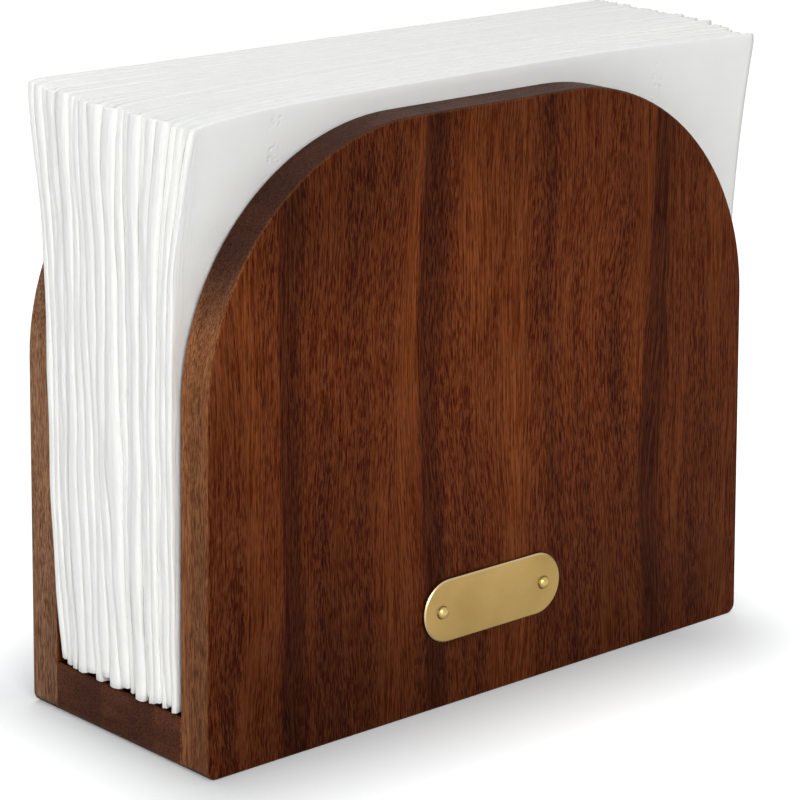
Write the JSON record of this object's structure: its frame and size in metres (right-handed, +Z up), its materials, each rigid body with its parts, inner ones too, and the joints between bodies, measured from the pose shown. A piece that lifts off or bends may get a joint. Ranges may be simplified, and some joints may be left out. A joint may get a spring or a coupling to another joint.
{
  "type": "upright napkin holder",
  "caption": "Upright wooden napkin holder: arched boards on a base board, with a bare brass plate on the front and a pack of folded paper napkins that lifts out.",
  "frame": {"origin": "on the underside of the base board, at the middle of its length and depth", "axes": "+X along the arched boards to the right seen from the front, -Y out of the front board with the brass plate, +Z up"},
  "size_m": [0.1685, 0.0656, 0.1408],
  "materials": {
    "stained_wood": "dark red-brown stained hardwood with short dark pores, thin satin oil finish",
    "dowel_wood": "plain unfinished hardwood dowel, hidden in the joints",
    "brushed_brass": "satin brass sheet, brushed along its length, with a bright bevelled rim",
    "polished_brass": "polished brass pin heads",
    "napkin_paper": "white soft tissue paper, matt, lightly embossed"
  },
  "bodies": {
    "holder": {"front_panel": "stained_wood", "back_panel": "stained_wood", "base_board": "stained_wood", "front_dowels": "dowel_wood", "back_dowels": "dowel_wood", "name_plate": "brushed_brass", "plate_pins": "polished_brass"},
    "napkin_pack": {"napkin_01": "napkin_paper", "napkin_02": "napkin_paper", "napkin_03": "napkin_paper", "napkin_04": "napkin_paper", "napkin_05": "napkin_paper", "napkin_06": "napkin_paper", "napkin_07": "napkin_paper", "napkin_08": "napkin_paper", "napkin_09": "napkin_paper", "napkin_10": "napkin_paper", "napkin_11": "napkin_paper", "napkin_12": "napkin_paper", "napkin_13": "napkin_paper", "napkin_14": "napkin_paper", "napkin_15": "napkin_paper", "napkin_16": "napkin_paper", "napkin_17": "napkin_paper", "napkin_18": "napkin_paper", "napkin_19": "napkin_paper", "napkin_20": "napkin_paper"}
  },
  "joints": [
    {"name": "pack_lift", "type": "slide", "parent": "holder", "child": "napkin_pack", "axis": [0, 0, 1], "range_m": [0, 0.14]}
  ]
}
